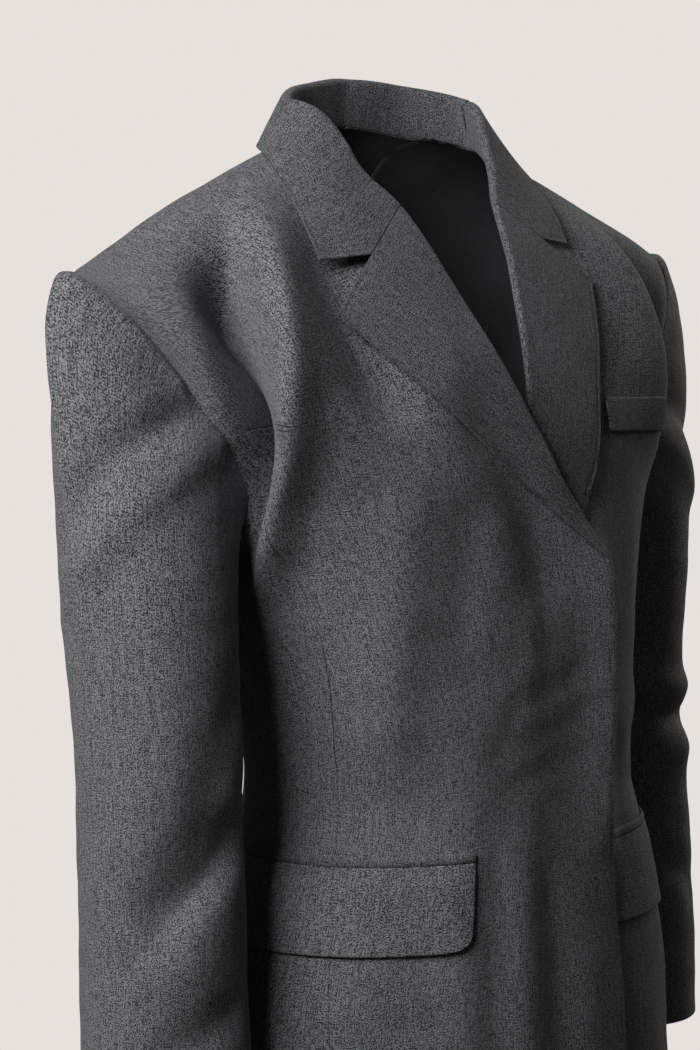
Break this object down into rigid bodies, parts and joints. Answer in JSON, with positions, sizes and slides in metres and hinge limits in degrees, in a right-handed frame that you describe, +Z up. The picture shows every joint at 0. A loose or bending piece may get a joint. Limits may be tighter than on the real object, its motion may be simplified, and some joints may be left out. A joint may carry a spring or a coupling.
{
  "type": "single breasted blazer",
  "caption": "Worn, hollow blazer with wide padded shoulders, notch lapels, a wide wrapped front, hip pocket flaps and a breast welt, open at neck, hem and cuffs.",
  "frame": {"origin": "middle of the neck, on the line between the tops of the two shoulder seams, where the wearer's shoulders hold the garment", "axes": "+Z up, -Y the wearer's front, -X the wearer's right"},
  "size_m": [0.641, 0.3129, 0.8264],
  "materials": {
    "wool": "matte worsted",
    "facing_wool": "matte worsted",
    "sleeve_wool": "matte worsted",
    "trim_wool": "matte worsted",
    "horn": "satin"
  },
  "bodies": {
    "root": {"chest_welt": "trim_wool", "collar": "facing_wool", "front_button": "horn", "left_back": "wool", "left_front": "wool", "left_lapel": "facing_wool", "left_pocket_flap": "trim_wool", "left_pocket_jet": "trim_wool", "left_side_panel": "wool", "left_under_sleeve": "sleeve_wool", "left_upper_sleeve": "sleeve_wool", "right_back": "wool", "right_front": "wool", "right_lapel": "facing_wool", "right_pocket_flap": "trim_wool", "right_pocket_jet": "trim_wool", "right_side_panel": "wool", "right_under_sleeve": "sleeve_wool", "right_upper_sleeve": "sleeve_wool"}
  },
  "joints": []
}
